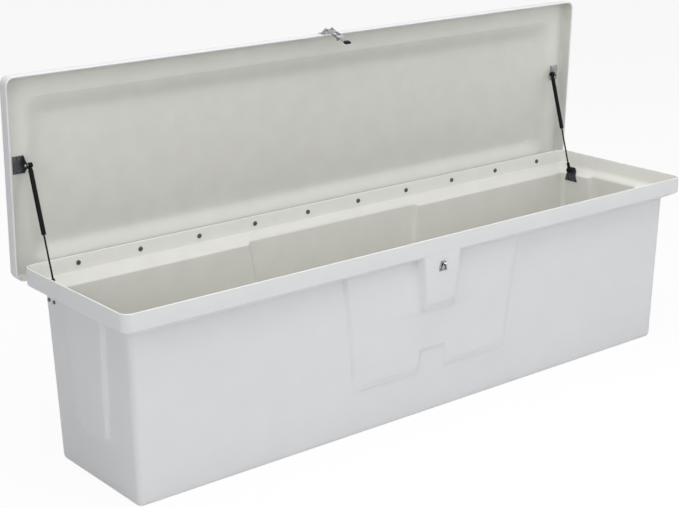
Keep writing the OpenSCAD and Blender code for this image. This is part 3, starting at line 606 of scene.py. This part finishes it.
# Cross-head screws with nuts: the head below zero, the shank along +Z, the nut past the grip
def cross_head_screw(name, head_r, head_h, shank_r, grip, nut_r, nut_h):
    let_go()
    bpy.ops.mesh.primitive_cylinder_add(vertices=40, radius=head_r, depth=head_h,
                                        location=(0, 0, -head_h / 2))
    head = bpy.context.object
    head.name = name
    bpy.ops.object.transform_apply(location=True, rotation=True, scale=True)
    bpy.ops.object.mode_set(mode="EDIT")
    pick(head, "faces", lambda f: f.normal.z < -0.9)
    bpy.ops.mesh.bevel(offset=0.62 * head_h, segments=5, profile=0.5)
    bpy.ops.object.mode_set(mode="OBJECT")
    for turn in (0.0, 90.0):
        let_go()
        bpy.ops.mesh.primitive_cube_add(size=1, location=(0, 0, -head_h),
                                        rotation=(0, 0, math.radians(turn)),
                                        scale=(1.05 * head_r, 0.2 * head_r, 1.1 * head_h))
        slot_cutter = bpy.context.object
        bpy.ops.object.transform_apply(location=True, rotation=True, scale=True)
        bpy.ops.object.mode_set(mode="EDIT")
        pick(slot_cutter, "faces", lambda f: f.normal.z > 0.9)
        bpy.ops.transform.resize(value=(0.45, 0.45, 1.0))
        bpy.ops.object.mode_set(mode="OBJECT")
        apply_modifier(head, "BOOLEAN", {"object": slot_cutter, "operation": "DIFFERENCE"})
        bpy.data.objects.remove(slot_cutter)
    # The shank starts 0.5 mm inside the head and ends 2 mm past the nut
    shank_length = grip + nut_h + 2.5e-3
    let_go()
    bpy.ops.mesh.primitive_cylinder_add(vertices=24, radius=shank_r, depth=shank_length,
                                        location=(0, 0, shank_length / 2 - 0.5e-3))
    shank = bpy.context.object
    bpy.ops.object.transform_apply(location=True, rotation=True, scale=True)
    bpy.ops.object.mode_set(mode="EDIT")
    pick(shank, "faces", lambda f: f.normal.z > 0.9)
    bpy.ops.mesh.bevel(offset=0.3 * shank_r, segments=2)
    bpy.ops.object.mode_set(mode="OBJECT")
    let_go()
    bpy.ops.mesh.primitive_cylinder_add(vertices=6, radius=nut_r, depth=nut_h,
                                        location=(0, 0, grip + nut_h / 2))
    nut = bpy.context.object
    bpy.ops.object.transform_apply(location=True, rotation=True, scale=True)
    bpy.ops.object.mode_set(mode="EDIT")
    pick(nut, "edges", lambda e: True)
    bpy.ops.mesh.bevel(offset=0.08 * nut_r, segments=2)
    bpy.ops.object.mode_set(mode="OBJECT")
    hold(head)
    shank.select_set(True)
    nut.select_set(True)
    bpy.ops.object.join()
    smooth(head, SCREW_ANGLE)
    return head


def screw_row(node, pattern, places, finish):
    """One screw copied to each place, joined as the node's row."""
    row = []
    for place in places:
        hold(pattern)
        bpy.ops.object.duplicate()
        screw = bpy.context.object
        put(screw, place)
        row.append(screw)
    hold(row[0])
    for screw in row[1:]:
        screw.select_set(True)
    bpy.ops.object.join()
    joined = bpy.context.object
    joined.name = node + "_cross_head"
    stand_in(joined, node, finish)


def turned(x, y, z, degrees):
    """A place whose +Z is turned about X."""
    return Matrix.Translation((x, y, z)) @ Matrix.Rotation(math.radians(degrees), 4, "X")


def hinge_x(number, count):
    """Where a screw of the hinge's row is along the box."""
    return HINGE_SHIFT + (number - (count - 1) / 2) * SCREW_PITCH


hinge_screw = cross_head_screw("hinge_screw", head_r=0.008, head_h=0.0032, shank_r=0.0025,
                               grip=SKIN + LEAF, nut_r=0.0046, nut_h=0.0034)
screw_row("hinge_tub_screws", hinge_screw,
          [turned(hinge_x(i, TUB_SCREWS), RIM_WIDTH / 2 - SKIN, SCREW_Z, -90)
           for i in range(TUB_SCREWS)], screw_steel_painted_dark)
screw_row("hinge_lid_screws", hinge_screw,
          [TO_OPEN @ turned(hinge_x(i, LID_SCREWS), LID_WIDTH / 2, SCREW_Z, 90)
           for i in range(LID_SCREWS)], screw_steel_painted_dark)
bpy.data.objects.remove(hinge_screw)
base_screw = cross_head_screw("base_screw", head_r=0.0034, head_h=0.0016, shank_r=0.002,
                              grip=0.0085, nut_r=0.0036, nut_h=0.0026)
base_face_y = -(LID_WIDTH / 2 + BASE_PLATE)
screw_row("latch_base_screws", base_screw,
          [TO_OPEN @ turned(sign * BASE_SCREW_X, base_face_y, BASE_FOOT_Z + share * BASE_HEIGHT, -90)
           for sign in (-1, 1) for share in (0.26, 0.74)], finishes["latch_chrome"])
bpy.data.objects.remove(base_screw)
keeper_low, keeper_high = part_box("keeper_screws")
keeper_middle_z = (keeper_low.z + keeper_high.z) / 2
keeper_screw = cross_head_screw("keeper_screw", head_r=0.0034, head_h=0.0016, shank_r=0.002,
                                grip=0.008, nut_r=0.0036, nut_h=0.0026)
screw_row("keeper_screws", keeper_screw,
          [turned(sign * KEEPER_SCREW_X, KEEPER_FACE_Y, keeper_middle_z, -90) for sign in (-1, 1)],
          finishes["dark_bolts"])
bpy.data.objects.remove(keeper_screw)


# Gas tubes: drawn steel with a round shoulder, a rolled groove and a curled mouth
def gas_tube(side, sign):
    """One tube, made along Z from its ball and then leant to its place."""
    groove = TUBE_MOUTH + 0.0135
    let_go()
    bpy.ops.mesh.primitive_cylinder_add(vertices=48, radius=TUBE_RADIUS, depth=TUBE_TOP - TUBE_MOUTH,
                                        location=(0, 0, (TUBE_TOP + TUBE_MOUTH) / 2))
    tube = bpy.context.object
    tube.name = "gas_tube_" + side
    bpy.ops.object.transform_apply(location=True, rotation=True, scale=True)
    bpy.ops.object.mode_set(mode="EDIT")
    pick(tube, "faces", lambda f: f.normal.z > 0.9)
    bpy.ops.mesh.bevel(offset=0.0018, segments=4)
    # Rings for the groove over the seal
    for z in (groove - 0.001, groove, groove + 0.001):
        bpy.ops.mesh.select_all(action="SELECT")
        bpy.ops.mesh.bisect(plane_co=(0, 0, z), plane_no=(0, 0, 1))
    pick(tube, "edges", lambda e: all(abs(v.co.z - groove) < 0.0002 for v in e.verts))
    bpy.ops.transform.resize(value=(0.93, 0.93, 1.0))
    pick(tube, "edges", lambda e: all(abs(v.co.z - groove) < 0.0002 for v in e.verts))
    bpy.ops.mesh.bevel(offset=0.0005, segments=3)
    # The mouth curls in to just clear the rod
    pick(tube, "faces", lambda f: f.normal.z < -0.9)
    bpy.ops.mesh.inset(thickness=0.0033)
    bpy.ops.mesh.delete(type="FACE")
    pick(tube, "edges",
         lambda e: all(abs(v.co.z - TUBE_MOUTH) < 1e-5 and v.co.xy.length > 0.007 for v in e.verts))
    bpy.ops.mesh.bevel(offset=0.001, segments=4)
    bpy.ops.object.mode_set(mode="OBJECT")
    apply_modifier(tube, "SOLIDIFY", {"thickness": 0.0008, "offset": -1.0})
    smooth(tube, TUBE_ANGLE)
    way = LID_BALL - TUB_BALL
    lean = math.atan2(way.y, way.z)
    put(tube, Matrix.Translation((sign * STRUT_X, LID_BALL.y, LID_BALL.z)) @ Matrix.Rotation(-lean, 4, "X"))
    stand_in(tube, "strut_tube_" + side, finishes["black_paint"])


gas_tube("left", -1)
gas_tube("right", 1)


# Floor, world, lamps and camera
def seen_share(tree):
    """A node that is 1 for rays from the eye, off gloss or through glass, and 0 for other rays."""
    rays = add(tree, "ShaderNodeLightPath", {}, {})
    seen = add(tree, "ShaderNodeMath", {"operation": "ADD"},
               {0: (rays, "Is Camera Ray"), 1: (rays, "Is Glossy Ray")})
    return add(tree, "ShaderNodeMath", {"operation": "ADD", "use_clamp": True},
               {0: (seen, 0), 1: (rays, "Is Transmission Ray")})


def white_floor():
    """A floor that looks white to the eye and in reflections, with the object's shadow kept on it."""
    material, tree, place = new_material("stage_white")
    # To the eye 93 parts of 100 glow, and the rest is paper, which takes the shadow
    share = add(tree, "ShaderNodeMath", {"operation": "MULTIPLY", 1: 0.93}, {0: (seen_share(tree), 0)})
    paper = add(tree, "ShaderNodeBsdfDiffuse", {"Color": linear("#EDEDED")}, {})
    glow = add(tree, "ShaderNodeEmission", {"Color": (1, 1, 1, 1), "Strength": 1.0}, {})
    mixed = add(tree, "ShaderNodeMixShader", {}, {0: (share, 0), 1: (paper, 0), 2: (glow, 0)})
    show(tree, mixed)
    let_go()
    bpy.ops.mesh.primitive_plane_add(size=60, location=(0, 0, -0.0005))
    floor = bpy.context.object
    floor.name = "floor"
    floor.data.materials.append(material)


def white_world():
    """A world that looks white, also in reflections, and gives no other light."""
    world = bpy.data.worlds.new("studio")
    world.use_nodes = True
    world.node_tree.nodes.clear()
    sky = world.node_tree
    light = add(sky, "ShaderNodeBackground", {"Color": (1, 1, 1, 1)}, {"Strength": (seen_share(sky), 0)})
    add(sky, "ShaderNodeOutputWorld", {}, {"Surface": (light, 0)})
    bpy.context.scene.world = world


def soft_lamp(name, place, size, watts):
    """A white square studio lamp, turned to the aim point."""
    let_go()
    bpy.ops.object.light_add(type="AREA", location=place)
    lamp = bpy.context.object
    lamp.name = name
    lamp.data.size = size
    lamp.data.energy = watts
    lamp.rotation_euler = (AIM - Vector(place)).to_track_quat("-Z", "Y").to_euler()


def photo_camera():
    """Camera at the photo's viewing angle, worked out from the box's corners."""
    yaw = math.radians(38.216)
    pitch = math.radians(17.063)
    roll = math.radians(-0.795)
    forward = Vector((math.sin(yaw) * math.cos(pitch), math.cos(yaw) * math.cos(pitch), -math.sin(pitch)))
    right = Vector((math.cos(yaw), -math.sin(yaw), 0))
    up = right.cross(forward)
    side = right * math.cos(roll) + up * math.sin(roll)
    top = up * math.cos(roll) - right * math.sin(roll)
    let_go()
    bpy.ops.object.camera_add(location=CAMERA_PLACE)
    camera = bpy.context.object
    camera.name = "photo_camera"
    turn = Matrix((side, top, -forward)).transposed()
    camera.rotation_euler = turn.to_euler()
    camera.data.sensor_width = SENSOR_MM
    camera.data.lens = FOCAL_PIXELS / PHOTO_WIDTH * SENSOR_MM
    bpy.context.scene.camera = camera


white_floor()
white_world()
soft_lamp("overhead_box", (0.0, -0.4, 5.2), 6.0, 288)
soft_lamp("front_high", (0.5, -4.5, 4.2), 5.0, 51)
soft_lamp("front_left_high", (-3.0, -4.6, 3.6), 4.0, 65)
soft_lamp("right_fill", (4.5, -5.0, 2.2), 4.0, 117)
soft_lamp("left_front", (-5.5, -2.4, 2.4), 3.0, 81)
soft_lamp("left_high", (-4.5, 0.2, 4.5), 3.0, 19)
photo_camera()
bpy.context.scene.view_settings.view_transform = "Standard"
